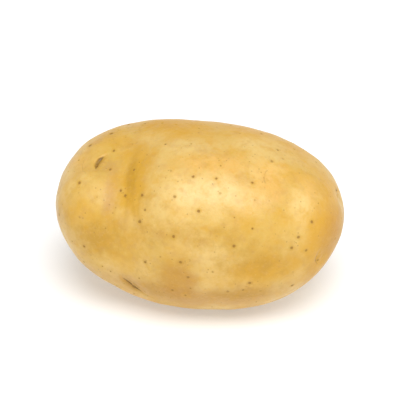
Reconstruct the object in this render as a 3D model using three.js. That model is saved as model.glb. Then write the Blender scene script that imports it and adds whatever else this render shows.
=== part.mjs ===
// A medium table potato, lying on its side: one solid tuber with a shallow waist between two
// unequal lobes, the hollows of its eyes and a small flat spot that it rests on.
// Millimetres, +Z up. X runs along the tuber, from the heel, where it hung on its runner (-X),
// to the rose end, where its eyes crowd together (+X). The origin is the middle of its footprint.
import * as THREE from "three";
import { mergeVertices } from "three/addons/utils/BufferGeometryUtils.js";

// Driving dimensions
const length = 88;
const width = 57;
const height = 53;
const roundness = 2.3; // 2 is an ellipsoid, and more fills out the shoulders
const gridCells = 22; // cells along each edge of the six-sided grid that is wrapped round the tuber
const restDepth = 1.3; // how far the flat spot is pressed into the underside
const restBlend = 0.6; // half the height over which the flat spot rounds into the flank

const halfSize = new THREE.Vector3(length / 2, width / 2, height / 2);

// Broad swellings and hollows. Each one faces "towards", fades over "spread" degrees and
// stands "lift" millimetres proud of the oval, or sinks into it where lift is negative.
const swells = [
  { part: "heel lobe, front", towards: [-0.78, -0.5, 0.4], spread: 22, lift: 1.2 },
  { part: "heel lobe, top", towards: [-0.62, 0.3, 0.72], spread: 24, lift: 1.4 },
  { part: "heel lobe, underside", towards: [-0.8, -0.3, -0.55], spread: 30, lift: -2.6 },
  { part: "main lobe, front", towards: [0.1, -0.6, 0.8], spread: 34, lift: 0.9 },
  { part: "main lobe, back", towards: [-0.35, 0.9, -0.1], spread: 30, lift: 1.1 },
  { part: "back hollow", towards: [0.3, 0.88, 0.3], spread: 22, lift: -2.2 },
  { part: "rose end, top", towards: [0.72, 0.35, 0.6], spread: 28, lift: -1.0 },
  { part: "rose end, underside", towards: [0.85, -0.1, -0.5], spread: 28, lift: -3.2 },
];

// The waist between the two lobes: a groove across the tuber, deepest where it faces "towards".
const waist = { at: -0.49, halfWidth: 0.19, depth: 4.6, towards: [0, -0.7, 0.71], spread: 56 };

// The hollows that the eyes sit in. They wind round the tuber, closer towards the rose end.
const eyes = [
  { towards: [-0.68, -0.17, 0.72], depth: 0.9 },
  { towards: [-0.4, -0.77, -0.5], depth: 1.0 },
  { towards: [-0.2, 0.98, -0.05], depth: 1.2 },
  { towards: [0.48, -0.38, 0.79], depth: 0.9 },
  { towards: [0.45, 0.1, -0.89], depth: 1.0 },
  { towards: [0.56, 0.72, 0.4], depth: 1.2 },
  { towards: [0.84, -0.54, -0.1], depth: 0.7 },
  { towards: [0.86, 0.36, -0.36], depth: 1.0 },
  { towards: [0.95, 0.1, 0.3], depth: 0.9 },
];
const eyeSpread = 8;

// The dimple on the heel, where the runner broke off.
const heelDimple = { towards: [-0.97, 0.24, -0.05], spread: 7, depth: 1.5 };

// How much of a bump that faces "towards" is felt in direction d: 1 at its middle, 0 far away.
function nearness(d, towards, spread) {
  const middle = new THREE.Vector3(...towards).normalize();
  const angle = THREE.MathUtils.radToDeg(d.angleTo(middle));
  return Math.exp(-((angle / spread) ** 2));
}

// How deep in the waist direction d is: 1 at its deepest, 0 well clear of it.
function acrossWaist(d) {
  const along = Math.exp(-(((d.x - waist.at) / waist.halfWidth) ** 2));
  const around = new THREE.Vector3(0, d.y, d.z).normalize();
  return along * nearness(around, waist.towards, waist.spread);
}

// Millimetres that the skin stands off the oval in direction d.
function liftAt(d) {
  let lift = 0;
  for (const s of swells) lift += s.lift * nearness(d, s.towards, s.spread);
  lift -= waist.depth * acrossWaist(d);
  for (const eye of eyes) lift -= eye.depth * nearness(d, eye.towards, eyeSpread);
  lift -= heelDimple.depth * nearness(d, heelDimple.towards, heelDimple.spread);
  return lift;
}

// The point of the skin in direction d, measured from the middle of the tuber.
function skinPoint(d) {
  const sum = Math.abs(d.x) ** roundness + Math.abs(d.y) ** roundness + Math.abs(d.z) ** roundness;
  const onOval = d.clone().multiplyScalar(sum ** (-1 / roundness)).multiply(halfSize);
  const outward = d.clone().divide(halfSize).normalize();
  return onOval.addScaledVector(outward, liftAt(d));
}

// Height above the resting surface, with everything that would sink below it pressed flat.
function pressFlat(z) {
  if (z < -restBlend) return 0;
  if (z > restBlend) return z;
  return (z + restBlend) ** 2 / (4 * restBlend);
}

// Spreads the points of a cube's face evenly over a sphere.
function cubeToSphere(p) {
  const [x2, y2, z2] = [p.x * p.x, p.y * p.y, p.z * p.z];
  return new THREE.Vector3(
    p.x * Math.sqrt(1 - y2 / 2 - z2 / 2 + (y2 * z2) / 3),
    p.y * Math.sqrt(1 - z2 / 2 - x2 / 2 + (z2 * x2) / 3),
    p.z * Math.sqrt(1 - x2 / 2 - y2 / 2 + (x2 * y2) / 3),
  ).normalize();
}

function tuberGeometry() {
  const box = new THREE.BoxGeometry(2, 2, 2, gridCells, gridCells, gridCells);
  box.deleteAttribute("normal");
  box.deleteAttribute("uv");
  const geometry = mergeVertices(box, 1e-4);
  const position = geometry.getAttribute("position");
  const point = new THREE.Vector3();

  let lowest = Infinity;
  for (let i = 0; i < position.count; i++) {
    point.copy(skinPoint(cubeToSphere(point.fromBufferAttribute(position, i))));
    position.setXYZ(i, point.x, point.y, point.z);
    lowest = Math.min(lowest, point.z);
  }
  const restLevel = lowest + restDepth;
  for (let i = 0; i < position.count; i++) position.setZ(i, pressFlat(position.getZ(i) - restLevel));

  geometry.computeBoundingBox();
  const middle = geometry.boundingBox.getCenter(new THREE.Vector3());
  geometry.translate(-middle.x, -middle.y, -geometry.boundingBox.min.z);
  geometry.computeVertexNormals();
  return geometry;
}

const skin = new THREE.MeshStandardMaterial({ color: 0xe7bc68, roughness: 0.5, metalness: 0 });

const potato = new THREE.Mesh(tuberGeometry(), skin);
potato.name = "potato";

const model = new THREE.Group();
model.add(potato);

export default model;
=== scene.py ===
# One medium table potato, lying on its side on a plain pale floor in soft studio light.
# Metres. X runs along the tuber from its heel (-X) to its rose end (+X), and +Z is up.
import math
import random

import bmesh
import bpy
import numpy as np
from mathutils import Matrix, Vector, noise
from mathutils.bvhtree import BVHTree
from mathutils.kdtree import KDTree


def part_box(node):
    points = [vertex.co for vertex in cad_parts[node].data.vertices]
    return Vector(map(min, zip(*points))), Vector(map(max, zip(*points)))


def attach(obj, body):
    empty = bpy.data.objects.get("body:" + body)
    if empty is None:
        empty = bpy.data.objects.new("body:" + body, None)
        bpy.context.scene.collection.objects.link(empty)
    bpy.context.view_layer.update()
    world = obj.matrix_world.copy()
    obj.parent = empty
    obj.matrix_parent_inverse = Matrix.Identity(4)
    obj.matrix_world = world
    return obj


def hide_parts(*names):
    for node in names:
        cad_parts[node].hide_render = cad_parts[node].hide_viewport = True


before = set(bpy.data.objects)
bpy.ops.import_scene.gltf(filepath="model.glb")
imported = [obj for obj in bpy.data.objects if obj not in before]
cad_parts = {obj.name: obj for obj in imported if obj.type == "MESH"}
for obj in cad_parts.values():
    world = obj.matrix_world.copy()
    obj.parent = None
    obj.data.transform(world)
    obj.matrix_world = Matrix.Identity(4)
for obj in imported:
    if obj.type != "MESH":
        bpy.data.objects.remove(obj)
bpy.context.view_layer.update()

low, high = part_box("potato")
middle = (low + high) / 2
halfSize = (high - low) / 2
farOff = halfSize.x * 2  # a distance from the middle that is well outside the tuber
mm = 0.001
print("frame loaded:", [round(side / mm, 1) for side in high - low], "mm")


# The tuber's form. A place on it is given by a direction from its middle, each axis measured
# in half sizes, so that (1, 0, 0) is the tip of the rose end.
tuber = {
    "cuts": 111,  # cuts along each edge of the grid that is wrapped round the tuber
    "mergeDistance": 0.001 * mm,
    "guideLevels": 3,  # how finely the CAD solid is smoothed before the grid is laid on it
    "fineRadius": 5.8 * mm,  # the grid is twice as fine this close to an eye or to the heel scar
    "smoothing": (4, 0.5),  # passes that even out the grid afterwards, and their strength
    "calmHeight": 2.5 * mm,  # the detail fades out below this height, down to the resting spot
    "facing": (0.2, 0.5),  # how squarely a point faces a mark's way: not part of it, all in it
    "undulations": [  # wavelength and height of the unevenness of the whole skin
        (17 * mm, 0.45 * mm),
        (6 * mm, 0.14 * mm),
        (2.2 * mm, 0.032 * mm),
    ],
    "noiseStep": (7.3, 3.1, 5.7),  # sets each unevenness apart from the others
    "facets": [  # direction, reach along and across the tuber, height: shallow flats and swellings
        ((-0.30, -0.74, 0.60), 5 * mm, 13 * mm, -0.45 * mm),
        ((-0.12, -0.78, 0.61), 4 * mm, 12 * mm, 0.30 * mm),
        ((0.52, -0.62, 0.59), 6 * mm, 10 * mm, -0.30 * mm),
        ((0.30, -0.93, -0.10), 12 * mm, 5 * mm, -0.25 * mm),
        ((0.20, 0.75, -0.60), 10 * mm, 8 * mm, -0.35 * mm),
        ((-0.60, 0.70, 0.30), 7 * mm, 9 * mm, 0.30 * mm),
        ((0.30, 0.30, 0.90), 9 * mm, 7 * mm, 0.25 * mm),
    ],
}

# The eyes wind round the tuber, closer together towards the rose end. Each has a brow, the
# scar of a scale leaf, on its heel side, a crease under the brow and three buds in the hollow.
eyes = {
    "places": [  # direction, width of the brow, strength, turn in degrees, size of the dark mark
        ((-0.68, -0.17, 0.72), 6.5 * mm, 0.8, -22, 0.42 * mm),
        ((-0.40, -0.77, -0.50), 10 * mm, 0.9, 48, 0.19 * mm),
        ((-0.20, 0.98, -0.05), 12 * mm, 1.2, 10, 0.22 * mm),
        ((0.48, -0.38, 0.79), 7 * mm, 0.3, 0, 0.10 * mm),
        ((0.45, 0.10, -0.89), 8 * mm, 0.8, -12, 0.20 * mm),
        ((0.56, 0.72, 0.40), 11 * mm, 1.2, 6, 0.26 * mm),
        ((0.84, -0.54, -0.10), 6 * mm, 0.4, -8, 0.14 * mm),
        ((0.86, 0.36, -0.36), 9 * mm, 1.0, 14, 0.24 * mm),
        ((0.95, 0.10, 0.30), 7 * mm, 0.8, 0, 0.24 * mm),
    ],
    "reach": 0.9,  # how far an eye's mark can spread, in brow widths
    "beyond": (10 * mm, 1.0, 0.0),  # what the map of the marks holds away from every eye
    "creasePlace": -1.3 * mm,  # along the tuber from the middle of the hollow
    "creaseDepth": 0.60 * mm,
    "creaseWidth": 0.65 * mm,
    "creaseLength": 0.4,  # in brow widths
    "bend": 0.75,  # how far the ends of the brow curve towards the rose end, per brow width
    "browHeight": 0.55 * mm,
    "browPlace": 0.8 * mm,  # how far the crest stands back from the crease
    "browSlope": 2.2 * mm,  # gentle towards the heel
    "browDrop": 0.7 * mm,  # and steep down to the crease
    "browLength": 0.5,  # in brow widths
    "hollowDepth": 0.75 * mm,
    "hollowRadius": 3.2 * mm,
    "hollowStretch": 0.6,  # below 1 the hollow is longer across the tuber
    "budHeight": 0.50 * mm,
    "budRadius": 0.75 * mm,
    "budPlace": 0.5 * mm,  # along the tuber from the middle of the hollow
    "budSpacing": 1.7 * mm,
    "sideBud": 0.6,  # size of the two outer buds, where the middle one is 1
}

# The scar on the heel where the runner broke off: a ragged corky ring round a small pit.
heelScar = {
    "place": (-0.97, 0.24, -0.05),
    "radius": 1.7 * mm,
    "ringHeight": 0.32 * mm,
    "ringWidth": 0.6 * mm,
    "ringUnevenness": 0.3,
    "ringTurn": 1,  # radians, the way to its higher side
    "pitDepth": 0.8 * mm,
    "pitRadius": 0.7,  # in ring radii
    "lobes": [(2, 0.6, 0.150), (3, 2.1, 0.090), (5, 0.0, 0.060)],  # number, turn, share of radius
    "stretch": 1.25,  # above 1 the lobes and puckers are spaced unevenly
    "puckers": 7,
    "puckerBends": (2, 2),  # how uneven their spacing is, and how often round the scar
    "puckerDepth": 0.22 * mm,
    "puckerRadius": 2.1,  # in ring radii
    "puckerWidth": 1.8 * mm,
    "ringTone": 0.55,  # how corky the ring is, where the pit is 1
}


def smoothGuide(node):
    # the CAD solid as one smooth surface that the fine grid can be laid on
    form = bmesh.new()
    form.from_mesh(node.data)
    bmesh.ops.remove_doubles(form, verts=form.verts, dist=tuber["mergeDistance"])
    bmesh.ops.join_triangles(form, faces=form.faces, angle_face_threshold=math.pi,
                             angle_shape_threshold=math.pi)
    mesh = bpy.data.meshes.new("guide")
    form.to_mesh(mesh)
    form.free()
    guide = bpy.data.objects.new("guide", mesh)
    bpy.context.scene.collection.objects.link(guide)
    subdivision = guide.modifiers.new("smooth", "SUBSURF")
    subdivision.levels = subdivision.render_levels = tuber["guideLevels"]
    tree = BVHTree.FromObject(guide, bpy.context.evaluated_depsgraph_get())
    bpy.data.objects.remove(guide)
    bpy.data.meshes.remove(mesh)
    return tree


def onSkin(direction):
    # the point of the skin that a direction meets, with its outward normal
    outward = (Vector(direction) * halfSize).normalized()
    place, normal, _, _ = guide.ray_cast(middle + outward * farOff, -outward)
    return np.array(place), np.array(normal)


def ballPoint(cubePoint):
    # spreads the points of a cube evenly over a ball
    x, y, z = cubePoint
    return Vector((
        x * math.sqrt(1 - y * y / 2 - z * z / 2 + y * y * z * z / 3),
        y * math.sqrt(1 - z * z / 2 - x * x / 2 + z * z * x * x / 3),
        z * math.sqrt(1 - x * x / 2 - y * y / 2 + x * x * y * y / 3),
    ))


def wrappedGrid():
    # a finely cut cube, rounded and laid on the guide, and cut finer still where detail comes
    form = bmesh.new()
    bmesh.ops.create_cube(form, size=2)
    bmesh.ops.subdivide_edges(form, edges=form.edges, cuts=tuber["cuts"], use_grid_fill=True)
    for vert in form.verts:
        vert.co = onSkin(ballPoint(vert.co))[0]
    detailed = [direction for direction, *_ in eyes["places"]] + [heelScar["place"]]
    centres = [Vector(onSkin(direction)[0]) for direction in detailed]
    fine = []
    for edge in form.edges:
        place = (edge.verts[0].co + edge.verts[1].co) / 2
        if min((place - centre).length for centre in centres) < tuber["fineRadius"]:
            fine.append(edge)
    bmesh.ops.subdivide_edges(form, edges=fine, cuts=1, use_grid_fill=True)
    for vert in form.verts:
        vert.co = guide.find_nearest(vert.co)[0]
    passes, strength = tuber["smoothing"]
    for _ in range(passes):
        bmesh.ops.smooth_vert(form, verts=form.verts, factor=strength,
                              use_axis_x=True, use_axis_y=True, use_axis_z=True)
    bmesh.ops.recalc_face_normals(form, faces=form.faces)
    form.normal_update()
    return form


guide = smoothGuide(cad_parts["potato"])
form = wrappedGrid()
points = np.array([vert.co for vert in form.verts])
normals = np.array([vert.normal for vert in form.verts])
print("grid laid on the tuber:", len(form.verts), "points")


def bell(distance, width):
    return np.exp(-((distance / width) ** 2))


def ramp(value, start, end):
    # 0 before start, 1 after end, and smooth between
    t = np.clip((value - start) / (end - start), 0, 1)
    return t * t * (3 - 2 * t)


def localFrame(direction, turn=0.0):
    # each point's place along the tuber and across it from a mark, how far off it is, and
    # whether it faces the mark's way
    place, normal = onSkin(direction)
    along = np.array([1.0, 0.0, 0.0]) - normal * normal[0]
    along /= np.linalg.norm(along)
    across = np.cross(normal, along)
    along, across = (along * math.cos(turn) + across * math.sin(turn),
                     across * math.cos(turn) - along * math.sin(turn))
    offset = points - place
    facing = ramp(normals @ normal, *tuber["facing"])
    return offset @ along, offset @ across, np.linalg.norm(offset, axis=1), facing


def patch(direction, alongReach, acrossReach):
    # 1 at a direction and fading to 0 round it
    u, v, _, facing = localFrame(direction)
    return facing * bell(np.hypot(u / alongReach, v / acrossReach), 1)


calm = ramp(points[:, 2], 0, tuber["calmHeight"])
lift = np.zeros(len(points))  # how far each point moves out along its normal
for number, (wavelength, height) in enumerate(tuber["undulations"], 1):
    offset = Vector(tuber["noiseStep"]) * number
    lift += height * np.array([noise.noise(vert.co / wavelength + offset) for vert in form.verts])
for direction, alongReach, acrossReach, height in tuber["facets"]:
    lift += height * patch(direction, alongReach, acrossReach)
print("skin made uneven")


# The map holds the distance from a crease, the place along it in brow widths, and the size of
# its dark mark.
eyeMap = np.tile(eyes["beyond"], (len(points), 1))
eyeHollow = np.zeros(len(points))
budTone = np.zeros(len(points))
for direction, width, strength, turn, mark in eyes["places"]:
    u, v, distance, facing = localFrame(direction, math.radians(turn))
    fromCrease = u - eyes["creasePlace"] - eyes["bend"] * v * v / width
    fromCrest = fromCrease + eyes["browPlace"]
    slope = np.where(fromCrest < 0, eyes["browSlope"], eyes["browDrop"])
    brow = bell(fromCrest, slope) * bell(v, width * eyes["browLength"]) * facing
    crease = bell(fromCrease, eyes["creaseWidth"]) * bell(v, width * eyes["creaseLength"]) * facing
    hollow = bell(np.hypot(u, v * eyes["hollowStretch"]), eyes["hollowRadius"]) * facing
    lift += strength * (eyes["browHeight"] * brow - eyes["creaseDepth"] * crease
                        - eyes["hollowDepth"] * hollow)
    for side in (-1, 0, 1):
        share = eyes["sideBud"] if side else 1
        fromBud = np.hypot(u - eyes["budPlace"], v - side * eyes["budSpacing"])
        bud = strength * share * bell(fromBud, eyes["budRadius"] * share) * facing
        lift += eyes["budHeight"] * bud
        budTone = np.maximum(budTone, bud)
    eyeHollow = np.maximum(eyeHollow, strength * hollow)
    inside = (distance < width * eyes["reach"]) & (facing > 0)
    eyeMap[inside] = np.stack([fromCrease, v / width, np.full(len(v), mark)], 1)[inside]
print("eyes cut:", len(eyes["places"]))


u, v, distance, facing = localFrame(heelScar["place"])
angle = np.arctan2(v, u * heelScar["stretch"])
edge = distance / (1 + sum(share * np.sin(angle * count + start)
                           for count, start, share in heelScar["lobes"]))
ring = bell(edge - heelScar["radius"], heelScar["ringWidth"]) * facing
ring *= 1 + heelScar["ringUnevenness"] * (np.sin(angle + heelScar["ringTurn"]) - 1)
pit = bell(edge, heelScar["radius"] * heelScar["pitRadius"]) * facing
bend, bends = heelScar["puckerBends"]
pucker = np.cos(angle * heelScar["puckers"] + bend * np.sin(angle * bends)) * facing
pucker *= bell(edge - heelScar["radius"] * heelScar["puckerRadius"], heelScar["puckerWidth"])
lift += heelScar["ringHeight"] * ring - heelScar["pitDepth"] * pit
lift += heelScar["puckerDepth"] * pucker
corkTone = np.maximum(pit, heelScar["ringTone"] * ring)
print("heel scar cut")


# Fine wavy folds where the skin is drawn in at the waist.
waistFolds = {
    "place": (-0.47, -0.66, 0.58),
    "lines": [  # place along the tuber, shift across it, length, start of its wave
        (-3.6 * mm, -4 * mm, 7.8 * mm, 0.0),
        (-1.2 * mm, 0 * mm, 10.4 * mm, 1.7),
        (1.9 * mm, 4 * mm, 13.0 * mm, 3.4),
        (4.8 * mm, -4 * mm, 9.1 * mm, 5.1),
    ],
    "width": 0.5 * mm,
    "depth": 0.09 * mm,
    "waveHeight": 0.9 * mm,
    "waveLength": 26 * mm,
}
u, v, _, facing = localFrame(waistFolds["place"])
foldTone = np.zeros(len(points))
for line, shift, length, start in waistFolds["lines"]:
    wave = waistFolds["waveHeight"] * np.sin(v * 2 * math.pi / waistFolds["waveLength"] + start)
    fold = bell(u - line - wave, waistFolds["width"]) * bell(v - shift, length) * facing
    lift -= waistFolds["depth"] * fold
    foldTone = np.maximum(foldTone, fold)
print("waist folded")


# Broad soft tints. On the front and the lower side most are painted light: pale painted
# highlights, apricot painted light, and golden, ochre, amber and tan painted shade. The spots
# round the back are the skin's own tone.
tintsAndPaintedLight = {
    # golden: painted shade in the waist, along the top edge, across the lower middle and at the
    # rose end; the spots behind and underneath are the skin's own tone
    "goldenAndPaintedShade": [  # direction, reach along the tuber and across it, strength
        ((-0.45, -0.50, 0.74), 6 * mm, 16 * mm, 1.1),
        ((-0.18, 0.28, 0.94), 13 * mm, 10 * mm, 1.05),
        ((0.28, 0.40, 0.87), 15 * mm, 9 * mm, 0.95),
        ((0.62, 0.25, 0.74), 9 * mm, 8 * mm, 0.75),
        ((0.05, 0.58, 0.81), 24 * mm, 6 * mm, 0.8),
        ((0.50, -0.86, -0.10), 16 * mm, 6 * mm, 0.9),
        ((0.86, -0.50, 0.10), 8 * mm, 13 * mm, 1.4),
        ((0.05, -0.92, 0.38), 26 * mm, 4 * mm, 0.3),
        ((0.88, -0.10, 0.45), 5 * mm, 12 * mm, 0.7),
        ((-0.30, 0.75, 0.60), 18 * mm, 9 * mm, 0.7),
        ((0.60, 0.60, -0.50), 14 * mm, 12 * mm, 0.8),
        ((-0.70, 0.40, -0.60), 9 * mm, 12 * mm, 0.7),
    ],
    # ochre: painted shade in the waist, under the left lobe and along the lower front, with one
    # real brown smudge low on the front; the spots behind and underneath are the skin's own tone
    "ochre": [
        ((-0.47, -0.42, 0.78), 2.0 * mm, 9 * mm, 1.0),
        ((-0.63, -0.77, 0.11), 9 * mm, 7 * mm, 1.0),
        ((0.45, -0.88, 0.05), 14 * mm, 8 * mm, 0.65),
        ((-0.02, -1.00, 0.00), 3.5 * mm, 7 * mm, 0.3),
        ((-0.20, -0.88, -0.45), 16 * mm, 5 * mm, 0.8),
        ((0.30, -0.86, -0.42), 13 * mm, 4 * mm, 0.8),
        ((0.00, -0.93, 0.36), 22 * mm, 5 * mm, 0.65),
        ((-0.32, -0.72, 0.62), 5 * mm, 13 * mm, 0.35),
        ((-0.82, -0.45, 0.35), 9 * mm, 12 * mm, 0.40),
        ((0.10, 0.95, 0.25), 11 * mm, 6 * mm, 0.7),
        ((-0.55, 0.70, -0.30), 7 * mm, 9 * mm, 0.8),
        ((0.20, -0.20, -0.95), 15 * mm, 8 * mm, 0.6),
    ],
    # amber: painted shade at the lower rose end and low on the front; the two spots behind are the
    # skin's own tone
    "amberAndPaintedShade": [
        ((0.94, -0.34, 0.06), 8 * mm, 14 * mm, 0.95),
        ((0.82, -0.56, -0.15), 5 * mm, 7 * mm, 0.5),
        ((-0.06, -0.97, -0.22), 7 * mm, 9 * mm, 1.0),
        ((-0.30, 0.30, 0.90), 9 * mm, 5 * mm, 0.4),
        ((0.30, 0.90, -0.30), 10 * mm, 6 * mm, 0.5),
    ],
    # pale: painted highlights where the key light falls on the front, towards the rose end and on
    # the left lobe; the two spots behind are the skin's own tone
    "paleAndPaintedHighlight": [
        ((0.09, -0.66, 0.74), 17 * mm, 8.5 * mm, 0.95),
        ((0.70, -0.50, 0.48), 7 * mm, 9 * mm, 0.9),
        ((-0.72, -0.35, 0.55), 5 * mm, 6 * mm, 0.35),
        ((-0.10, 0.80, -0.60), 20 * mm, 8 * mm, 0.6),
        ((0.35, 0.75, 0.60), 9 * mm, 7 * mm, 0.5),
    ],
    # apricot: painted light, a brighter orange where the light falls on the upper front; the spots
    # elsewhere are the skin's own tone
    "apricotAndPaintedLight": [
        ((0.12, -0.38, 0.92), 13 * mm, 5 * mm, 0.9),
        ((0.47, -0.45, 0.76), 6 * mm, 9 * mm, 0.9),
        ((0.72, -0.30, 0.63), 5 * mm, 7 * mm, 0.6),
        ((-0.80, -0.05, 0.60), 5 * mm, 8 * mm, 0.6),
        ((-0.45, 0.60, 0.66), 10 * mm, 5 * mm, 0.7),
        ((0.50, 0.85, 0.05), 9 * mm, 8 * mm, 0.7),
        ((-0.30, -0.55, -0.78), 12 * mm, 6 * mm, 0.7),
        ((0.30, 0.40, -0.86), 9 * mm, 9 * mm, 0.6),
    ],
    # tan: painted shade along the lower side, front and back, and in the waist, and a tan tone at
    # the heel
    "tanAndPaintedShade": [
        ((0.00, -0.86, -0.50), 34 * mm, 6 * mm, 1.0),
        ((-0.93, -0.20, -0.10), 5 * mm, 14 * mm, 0.7),
        ((-0.59, -0.60, 0.54), 2.6 * mm, 9 * mm, 0.9),
        ((0.00, 0.60, -0.80), 24 * mm, 6 * mm, 0.8),
    ],
}
tintAndPaintedLightMasks = {}
for name, spots in tintsAndPaintedLight.items():
    tintAndPaintedLightMasks[name] = np.zeros(len(points))
    for direction, alongReach, acrossReach, strength in spots:
        spot = strength * patch(direction, alongReach, acrossReach)
        tintAndPaintedLightMasks[name] = np.maximum(tintAndPaintedLightMasks[name], spot)
print("tints laid:", ", ".join(tintAndPaintedLightMasks))


# The lenticels, the skin's pores: small corky dots, each in a slight pit with a raised rim.
pores = {
    "seed": 41,
    "count": 230,
    "spacing": 3.6 * mm,
    "crowding": (0.6, 1.9),  # how the spacing varies from one to the next
    "radius": (0.20 * mm, 0.56 * mm),
    "smallness": 1.7,  # above 1 there are more small ones than large
    "tries": 20000,
    "pitDepth": 0.10 * mm,
    "pitRadius": 0.9,  # in pore radii
    "rimHeight": 0.06 * mm,
    "rimRadius": 1.5,
    "rimWidth": 0.6,
    "reach": 4,  # the colour of a pore fades out within so many radii
    "faintest": 0.20,  # tone of the palest, where the darkest is 1
    "marked": [  # place along, degrees up from the front, and radius of the bold ones
        (-0.75, 55, 0.54 * mm),
        (-0.70, 74, 0.42 * mm),
        (-0.72, 100, 0.62 * mm),
        (-0.60, 108, 0.66 * mm),
        (-0.60, 88, 0.46 * mm),
        (-0.50, 120, 0.50 * mm),
        (-0.50, 45, 0.48 * mm),
        (-0.45, 66, 0.40 * mm),
        (-0.35, 45, 0.56 * mm),
        (-0.35, 27, 0.60 * mm),
        (-0.30, -3, 0.54 * mm),
        (-0.10, 20, 0.56 * mm),
        (-0.05, 2, 0.52 * mm),
        (0.00, 57, 0.50 * mm),
        (0.05, 36, 0.52 * mm),
        (0.15, 57, 0.42 * mm),
        (0.30, 16, 0.54 * mm),
        (0.40, -15, 0.56 * mm),
        (0.65, 12, 0.56 * mm),
        (0.75, 34, 0.54 * mm),
    ],
}


def aroundTuber(along, rise):
    # the direction of a place along the tuber, so many degrees up from its front
    girth = math.sqrt(1 - along * along)
    return (along, -girth * math.cos(math.radians(rise)), girth * math.sin(math.radians(rise)))


def scatterPores():
    # the marked ones first, then others at random that keep clear of them and of each other
    chance = random.Random(pores["seed"])
    placed = [(onSkin(aroundTuber(along, rise))[0], radius, 1.0)
              for along, rise, radius in pores["marked"]]
    smallest, largest = pores["radius"]
    for _ in range(pores["tries"]):
        if len(placed) == pores["count"]:
            break
        direction = Vector([chance.gauss(0, 1) for _ in range(3)]).normalized()
        place = onSkin(direction)[0]
        clear = pores["spacing"] * chance.uniform(*pores["crowding"])
        if all(np.linalg.norm(place - other) > clear for other, _, _ in placed):
            tone = chance.uniform(pores["faintest"], 1)
            radius = smallest + (largest - smallest) * chance.random() ** pores["smallness"]
            placed.append((place, radius, tone))
    return placed


def finderOf(places):
    finder = KDTree(len(places))
    for number, place in enumerate(places):
        finder.insert(place, number)
    finder.balance()
    return finder


placedPores = scatterPores()
poreFinder = finderOf([place for place, _, _ in placedPores])
nearest = np.array([poreFinder.find(vert.co)[1] for vert in form.verts])
pointFinder = finderOf(points)
closest = np.array([pointFinder.find(place)[1] for place, _, _ in placedPores])
raised = points[closest] + normals[closest] * (calm * lift)[closest, None]
poreCentre = raised[nearest]
poreRadius = np.array([radius for _, radius, _ in placedPores])[nearest]
poreTone = np.array([tone for _, _, tone in placedPores])[nearest]
distance = np.linalg.norm(points - points[closest][nearest], axis=1)
lift -= pores["pitDepth"] * bell(distance, poreRadius * pores["pitRadius"])
fromRim = distance - poreRadius * pores["rimRadius"]
lift += pores["rimHeight"] * bell(fromRim, poreRadius * pores["rimWidth"])
poreRadius = np.where(distance < poreRadius * pores["reach"], poreRadius, 0)
print("pores placed:", len(placedPores))


# The detail is pushed out of the skin, and the underside is kept level where it rests.
points += normals * (calm * lift)[:, None]
points[:, 2] = np.maximum(points[:, 2], 0)
for vert, point in zip(form.verts, points):
    vert.co = point

mesh = bpy.data.meshes.new("potatoSkin")
form.to_mesh(mesh)
form.free()
mesh.shade_smooth()


def paintOn(name, values):
    # a number, or three, at each point of the mesh for the material to read
    kind, field = ("FLOAT_VECTOR", "vector") if values.ndim == 2 else ("FLOAT", "value")
    layer = mesh.attributes.new(name, kind, "POINT")
    layer.data.foreach_set(field, values.astype(np.float32).ravel())


paintOn("eyeMap", eyeMap)
paintOn("eyeHollow", eyeHollow)
paintOn("budTone", budTone)
paintOn("corkTone", corkTone)
paintOn("foldTone", foldTone)
paintOn("poreCentre", poreCentre)
paintOn("poreRadius", poreRadius)
paintOn("poreTone", poreTone)
for name, mask in tintAndPaintedLightMasks.items():
    paintOn(name, mask)
print("tones painted on the points")

potatoSkin = bpy.data.objects.new("potatoSkin", mesh)
bpy.context.scene.collection.objects.link(potatoSkin)
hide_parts("potato")
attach(potatoSkin, "root")
print("skin modelled:", len(mesh.polygons), "faces")


class Wire:  # a shader socket that can be used in sums
    def __init__(self, socket):
        self.socket = socket

    def node(self, kind, settings, inputs, output=0):
        # any node: its settings first, then the value or the link of each socket it names
        tree = self.socket.id_data
        new = tree.nodes.new(kind)
        for name, value in settings.items():
            setattr(new, name, value)
        for name, value in inputs.items():
            if isinstance(value, Wire):
                tree.links.new(value.socket, new.inputs[name])
            else:
                new.inputs[name].default_value = value
        return Wire(new.outputs[output])

    def sum(self, operation, first, second):
        return self.node("ShaderNodeMath", {"operation": operation}, {0: first, 1: second})

    def __add__(self, other):
        return self.sum("ADD", self, other)

    def __radd__(self, other):
        return self.sum("ADD", other, self)

    def __sub__(self, other):
        return self.sum("SUBTRACT", self, other)

    def __rsub__(self, other):
        return self.sum("SUBTRACT", other, self)

    def __mul__(self, other):
        return self.sum("MULTIPLY", self, other)

    def __rmul__(self, other):
        return self.sum("MULTIPLY", other, self)

    def __truediv__(self, other):
        return self.sum("DIVIDE", self, other)

    def __abs__(self):
        return self.node("ShaderNodeMath", {"operation": "ABSOLUTE"}, {0: self})


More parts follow.
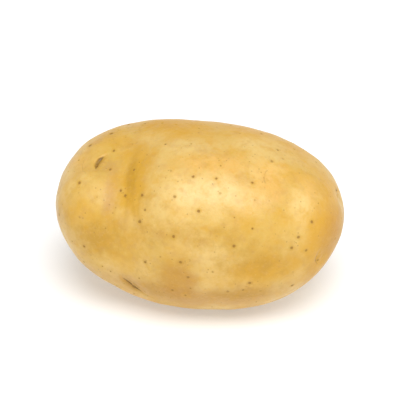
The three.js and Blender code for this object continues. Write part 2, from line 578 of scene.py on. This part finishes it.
# The skin's colours are linear, and its patterns are sized in metres. A pattern of noise is given
# as its wavelength, detail, roughness and shift, and a fade as where it starts and is full.
skin = {
    "colours": {
        "straw": (0.615, 0.385, 0.080, 1),
        "cream": (0.735, 0.515, 0.185, 1),
        "gold": (0.605, 0.318, 0.018, 1),
        "ochre": (0.475, 0.252, 0.018, 1),
        "amberAndPaintedShade": (0.470, 0.215, 0.012, 1),
        "apricotAndPaintedLight": (0.725, 0.425, 0.105, 1),
        "pinkTan": (0.515, 0.285, 0.080, 1),
        "russet": (0.290, 0.145, 0.025, 1),
        "pore": (0.250, 0.120, 0.014, 1),
        "eye": (0.150, 0.076, 0.014, 1),
        "bud": (0.520, 0.300, 0.075, 1),
        "cork": (0.330, 0.200, 0.080, 1),
        "scar": (0.110, 0.060, 0.020, 1),
    },
    "noiseMiddle": 0.5,
    "shiftWay": (1, 0.7, -1),  # the way that a shift moves a pattern
    "patches": [  # pattern, fade, amount, colour
        ((22 * mm, 3, 0.50, 0.0), (0.40, 0.64), 0.70, "cream"),
        ((13 * mm, 3, 0.50, 0.3), (0.46, 0.70), 0.60, "gold"),
        ((8 * mm, 4, 0.50, 0.7), (0.52, 0.74), 0.50, "pinkTan"),
    ],
    # The broad tints laid over the ground: painted highlights, painted light and painted shade on
    # the front and lower side, the skin's own tone elsewhere
    "paintedLightAndTintLayers": [  # tint, pattern and strength of its mottling, amount, colour
        ("paleAndPaintedHighlight", (6 * mm, 4, 0.60, 0.2), 1.0, 1.00, "cream"),
        ("tanAndPaintedShade", (6 * mm, 4, 0.60, 0.4), 1.0, 0.80, "pinkTan"),
        ("apricotAndPaintedLight", (5 * mm, 4, 0.60, 0.8), 1.2, 0.85, "apricotAndPaintedLight"),
        ("goldenAndPaintedShade", (10 * mm, 4, 0.60, 0.5), 1.5, 0.90, "gold"),
        ("ochre", (4 * mm, 4, 0.60, 0.9), 1.2, 0.85, "ochre"),
        ("amberAndPaintedShade", (7 * mm, 4, 0.60, 1.3), 1.0, 0.65, "amberAndPaintedShade"),
    ],
    "tintEdge": (0.10, 1.00),
    "tintMottled": (0.0, 0.25),  # the tint over which its mottling sets in
    "mottling": [  # as the patches, down to fine flecks
        ((4 * mm, 5, 0.60, 1.1), (0.52, 0.74), 0.30, "ochre"),
        ((2.6 * mm, 3, 0.55, 6.1), (0.50, 0.72), 0.30, "pinkTan"),
        ((3.4 * mm, 3, 0.55, 7.9), (0.50, 0.72), 0.35, "gold"),
        ((0.9 * mm, 3, 0.65, 1.7), (0.50, 0.72), 0.14, "cream"),
        ((1.6 * mm, 3, 0.65, 2.7), (0.50, 0.72), 0.30, "gold"),
    ],
    "netting": {  # thin warped russet lines, here and there
        "cell": 1.5 * mm,
        "warp": 1.2 * mm,
        "warpLength": 2.5 * mm,
        "line": (0.0, 0.16),  # its fade, in cells
        "masks": [  # pattern, fade
            ((11 * mm, 3, 0.50, 1.9), (0.52, 0.75)),
            ((1.7 * mm, 2, 0.50, 2.9), (0.42, 0.62)),
        ],
        "amount": 0.17,
    },
    "specks": {  # pinpricks
        "spacing": 2.4 * mm,
        "size": (0.05, 0.13),  # of the spacing: solid, and gone
        "amount": 0.5,
    },
    "foldAmount": 0.25,
    "eyeMarks": {
        "wander": 0.9 * mm,  # how far the dark line strays from its crease
        "wanderPattern": (2.6 * mm, 3, 0.60, 3.1),
        "taper": (0.10, 0.48),  # places along the crease where the line thins, and where it ends
        "line": (0.4, 1.3),  # how far out it is solid, and gone, in sizes of the mark
        "lineEdge": 0.15 * mm,
        "lineEnd": (0.0, 0.4),
        "markFade": (0.0, 0.3 * mm),  # the smallest marks are faint
        "breakPattern": (3 * mm, 2, 0.50, 4.1),
        "breakFade": (0.36, 0.50),
        "breakTone": 0.6,  # how dark the line stays at a break
        "lineAmount": 0.90,
        "stain": (0.2 * mm, 1.6 * mm),  # how far out the ochre round the line is full, and gone
        "stainEnd": (0.0, 0.8),
        "stainAmount": 0.55,
        "boldMark": 0.6 * mm,  # the size of mark that has that much stain
        "hollow": (0.2, 1.1),
        "hollowAmount": 0.35,
        "budAmount": 0.5,
    },
    "scarMarks": {
        "raggedness": 0.5,
        "pattern": (1.1 * mm, 3, 0.60, 5.3),
        "layers": [  # fade, amount, colour
            ((0.12, 0.45), 0.85, "cork"),
            ((0.62, 0.95), 0.90, "scar"),
        ],
    },
    "poreMarks": {  # distances are in their own radii
        "leastRadius": 0.001 * mm,  # stands in for the radius where there is no pore
        "raggedness": 0.9,
        "pattern": (0.6 * mm, 3, 0.50, 0.0),
        "halo": (1.0, 2.4),
        "paleHalo": 0.15,
        "darkHalo": 0.35,
        "dot": (0.45, 1.15),
        "dotTone": (0.1, 0.9),
        "dotAmount": 0.78,
    },
    "relief": {  # heights of the surface that only the light shows
        "leather": 0.20 * mm,
        "leatherPattern": (1.6 * mm, 4, 0.62, 0.0),
        "fineGrain": 0.03 * mm,
        "finePattern": (0.35 * mm, 2, 0.50, 0.0),
        "netDepth": 0.03 * mm,
        "poreDepth": 0.06 * mm,
        "lineDepth": 0.10 * mm,
        "strength": 0.8,
    },
    "gloss": {
        "roughness": 0.42,
        "roughnessSpread": 0.30,
        "roughnessPattern": (3 * mm, 3, 0.50, 2.3),
        "poreRoughness": 0.25,
        "netRoughness": 0.15,
        "sockets": {  # the same all over the skin
            "Specular IOR Level": 0.36,
            "Coat Weight": 0.08,
            "Coat Roughness": 0.36,
            "Subsurface Weight": 0.06,
            "Subsurface Radius": (4 * mm, 1.8 * mm, 0.6 * mm),
            "Subsurface Scale": 1.0,
        },
    },
}


def attribute(place, name, output="Fac"):
    return place.node("ShaderNodeAttribute", {"attribute_name": name}, {}, output)


def vector(operation, inputs, output="Vector"):
    return inputs[0].node("ShaderNodeVectorMath", {"operation": operation}, inputs, output)


def grain(place, pattern):
    wavelength, detail, roughness, shift = pattern
    moved = vector("ADD", {0: place, 1: [shift * part for part in skin["shiftWay"]]})
    return place.node("ShaderNodeTexNoise", {}, {
        "Vector": moved, "Scale": 1 / wavelength, "Detail": detail, "Roughness": roughness})


def swing(place, pattern, amount):
    # noise that swings below and above 0
    return (grain(place, pattern) - skin["noiseMiddle"]) * amount


def between(value, start, end):
    return value.node("ShaderNodeMapRange", {"interpolation_type": "SMOOTHSTEP"}, {
        "Value": value, "From Min": start, "From Max": end})


def cover(under, amount, colour):
    # one colour laid over another, by so much: the node's sockets for colours go by number
    share, first, second, mixed = 0, 6, 7, 2
    return amount.node("ShaderNodeMix", {"data_type": "RGBA"}, {
        share: amount, first: under, second: skin["colours"][colour]}, mixed)


def patchy(place, colour, layers):
    for pattern, fade, amount, over in layers:
        colour = cover(colour, between(grain(place, pattern), *fade) * amount, over)
    return colour


def groundColour(place):
    # the straw ground with its patches, the broad tints with their painted highlights, painted
    # light and painted shade, and mottling
    colour = patchy(place, skin["colours"]["straw"], skin["patches"])
    for tint, pattern, strength, amount, over in skin["paintedLightAndTintLayers"]:
        mask = attribute(place, tint)
        mottled = swing(place, pattern, strength) * between(mask, *skin["tintMottled"])
        colour = cover(colour, between(mask + mottled, *skin["tintEdge"]) * amount, over)
    return patchy(place, colour, skin["mottling"])


def nettingMask(place):
    look = skin["netting"]
    warp = place.node("ShaderNodeTexNoise", {}, {
        "Vector": place, "Scale": 1 / look["warpLength"]}, "Color")
    warped = vector("MULTIPLY_ADD", {0: warp, 1: (look["warp"],) * 3, 2: place})
    cracks = place.node("ShaderNodeTexVoronoi", {"feature": "DISTANCE_TO_EDGE"}, {
        "Vector": warped, "Scale": 1 / look["cell"]}, "Distance")
    netting = 1 - between(cracks, *look["line"])
    for pattern, fade in look["masks"]:
        netting = netting * between(grain(place, pattern), *fade)
    return netting


def speckMask(place):
    look = skin["specks"]
    specks = place.node("ShaderNodeTexVoronoi", {"feature": "F1"}, {
        "Vector": place, "Scale": 1 / look["spacing"]}, "Distance")
    return 1 - between(specks, *look["size"])


def eyeMasks(place):
    # the broken dark line in the crease of each eye, and the stain round it
    look = skin["eyeMarks"]
    fromCrease, alongCrease, mark = [
        place.node("ShaderNodeSeparateXYZ", {}, {0: attribute(place, "eyeMap", "Vector")}, axis)
        for axis in "XYZ"]
    strayed = abs(fromCrease + swing(place, look["wanderPattern"], look["wander"]))
    taper = 1 - between(abs(alongCrease), *look["taper"])
    solid, gone = look["line"]
    line = 1 - between(strayed, mark * taper * solid, mark * taper * gone + look["lineEdge"])
    line = line * between(taper, *look["lineEnd"]) * between(mark, *look["markFade"])
    whole = between(grain(place, look["breakPattern"]), *look["breakFade"])
    line = line * (look["breakTone"] + (1 - look["breakTone"]) * whole)
    stain = (1 - between(strayed, *look["stain"])) * between(taper, *look["stainEnd"])
    return line, stain * (mark / look["boldMark"])


def poreMasks(place):
    look = skin["poreMarks"]
    offset = vector("SUBTRACT", {0: place, 1: attribute(place, "poreCentre", "Vector")})
    away = vector("LENGTH", {0: offset}, "Value")
    radii = away / (attribute(place, "poreRadius") + look["leastRadius"])
    ragged = radii + swing(place, look["pattern"], look["raggedness"])
    return 1 - between(ragged, *look["halo"]), 1 - between(ragged, *look["dot"])


def skinMaterial():
    material = bpy.data.materials.new("potatoSkin")
    material.use_nodes = True
    shader = material.node_tree.nodes["Principled BSDF"]
    place = Wire(shader.outputs["BSDF"]).node("ShaderNodeTexCoord", {}, {}, "Object")

    colour = groundColour(place)
    netting = nettingMask(place)
    colour = cover(colour, netting * skin["netting"]["amount"], "russet")
    colour = cover(colour, speckMask(place) * skin["specks"]["amount"], "russet")
    colour = cover(colour, attribute(place, "foldTone") * skin["foldAmount"], "ochre")

    look = skin["eyeMarks"]
    line, stain = eyeMasks(place)
    hollow = between(attribute(place, "eyeHollow"), *look["hollow"])
    colour = cover(colour, hollow * look["hollowAmount"], "ochre")
    colour = cover(colour, stain * look["stainAmount"], "ochre")
    colour = cover(colour, line * look["lineAmount"], "eye")
    colour = cover(colour, attribute(place, "budTone") * look["budAmount"], "bud")

    look = skin["scarMarks"]
    cork = attribute(place, "corkTone") + swing(place, look["pattern"], look["raggedness"])
    for fade, amount, over in look["layers"]:
        colour = cover(colour, between(cork, *fade) * amount, over)

    look = skin["poreMarks"]
    halo, dot = poreMasks(place)
    tone = attribute(place, "poreTone")
    colour = cover(colour, halo * (1 - tone) * look["paleHalo"], "cream")
    colour = cover(colour, halo * tone * look["darkHalo"], "ochre")
    colour = cover(colour, dot * between(tone, *look["dotTone"]) * look["dotAmount"], "pore")

    look = skin["relief"]
    relief = grain(place, look["leatherPattern"]) * look["leather"]
    relief = relief + grain(place, look["finePattern"]) * look["fineGrain"]
    relief = (relief - netting * look["netDepth"]) * (1 - line)
    relief = relief - dot * look["poreDepth"] - line * look["lineDepth"]
    bump = relief.node("ShaderNodeBump", {}, {
        "Strength": look["strength"], "Distance": 1.0, "Height": relief})

    look = skin["gloss"]
    rough = look["roughness"] + swing(place, look["roughnessPattern"], look["roughnessSpread"])
    rough = rough + dot * look["poreRoughness"] + netting * look["netRoughness"]

    links = material.node_tree.links
    links.new(colour.socket, shader.inputs["Base Color"])
    links.new(rough.socket, shader.inputs["Roughness"])
    links.new(bump.socket, shader.inputs["Normal"])
    for name, value in look["sockets"].items():
        shader.inputs[name].default_value = value
    return material


mesh.materials.append(skinMaterial())
print("skin painted")


# The plain pale floor and the soft light of a white studio.
studio = {
    "floorSize": 6.0,
    "floorColour": (0.69, 0.69, 0.69, 1),
    "floorRoughness": 0.9,
    "floorGlow": 0.315,  # the floor is lit from below a little, as a light table is
    "white": (1, 1, 1, 1),
    "roomLight": (0.45, 1.0),  # the white room's own light, overhead and at the horizon
    "roomFade": (0.1, 0.5),  # heights in the sky between which one becomes the other
    "lights": [  # name, direction from the tuber, width in degrees, strength
        ("key", (0.12, -0.41, 0.90), 38, 2.55),
        ("side", (0.80, 0.08, 0.60), 28, 0.28),
    ],
    "lens": 301,  # millimetres
    "distance": 1.0,
    "clipStart": 0.01,
    "azimuth": 7,  # degrees, from straight in front towards the rose end
    "elevation": 33,
    "aimHeight": 3.6 * mm,  # how far above the tuber's middle the camera aims
}


def makeFloor():
    plane = bmesh.new()
    bmesh.ops.create_grid(plane, x_segments=1, y_segments=1, size=studio["floorSize"] / 2)
    floorMesh = bpy.data.meshes.new("floor")
    plane.to_mesh(floorMesh)
    plane.free()
    floor = bpy.data.objects.new("floor", floorMesh)
    bpy.context.scene.collection.objects.link(floor)
    material = bpy.data.materials.new("floor")
    material.use_nodes = True
    shader = material.node_tree.nodes["Principled BSDF"]
    shader.inputs["Base Color"].default_value = studio["floorColour"]
    shader.inputs["Roughness"].default_value = studio["floorRoughness"]
    shader.inputs["Specular IOR Level"].default_value = 0.0
    shader.inputs["Emission Color"].default_value = studio["white"]
    shader.inputs["Emission Strength"].default_value = studio["floorGlow"]
    floorMesh.materials.append(material)


def lookAt(thing, target):
    direction = target - thing.location
    thing.rotation_euler = direction.to_track_quat("-Z", "Y").to_euler()


def makeLights():
    # broad soft lights, far enough away to light the whole floor evenly
    for name, direction, width, strength in studio["lights"]:
        light = bpy.data.lights.new(name, "SUN")
        light.angle = math.radians(width)
        light.energy = strength
        lamp = bpy.data.objects.new(name, light)
        lamp.location = middle + Vector(direction).normalized()
        bpy.context.scene.collection.objects.link(lamp)
        lookAt(lamp, middle)


def makeRoom():
    world = bpy.data.worlds.new("studio")
    world.use_nodes = True
    background = world.node_tree.nodes["Background"]
    start = Wire(background.outputs["Background"])
    sky = start.node("ShaderNodeTexCoord", {}, {}, "Generated")
    height = start.node("ShaderNodeSeparateXYZ", {}, {0: sky}, "Z")
    overhead, horizon = studio["roomLight"]
    lowest, highest = studio["roomFade"]
    glow = start.node("ShaderNodeMapRange", {"interpolation_type": "SMOOTHSTEP"}, {
        "Value": height, "From Min": lowest, "From Max": highest,
        "To Min": horizon, "To Max": overhead})
    background.inputs["Color"].default_value = studio["white"]
    world.node_tree.links.new(glow.socket, background.inputs["Strength"])
    bpy.context.scene.world = world


def makeCamera():
    turn, rise = math.radians(studio["azimuth"]), math.radians(studio["elevation"])
    back = Vector((math.sin(turn) * math.cos(rise), -math.cos(turn) * math.cos(rise),
                   math.sin(rise)))
    right = Vector((math.cos(turn), math.sin(turn), 0))
    target = middle + back.cross(right) * studio["aimHeight"]
    camera = bpy.data.objects.new("camera", bpy.data.cameras.new("camera"))
    camera.data.lens = studio["lens"]
    camera.data.clip_start = studio["clipStart"]
    camera.location = target + back * studio["distance"]
    bpy.context.scene.collection.objects.link(camera)
    lookAt(camera, target)
    bpy.context.scene.camera = camera


makeFloor()
makeLights()
makeRoom()
makeCamera()
bpy.context.scene.view_settings.view_transform = "Standard"
print("studio set")
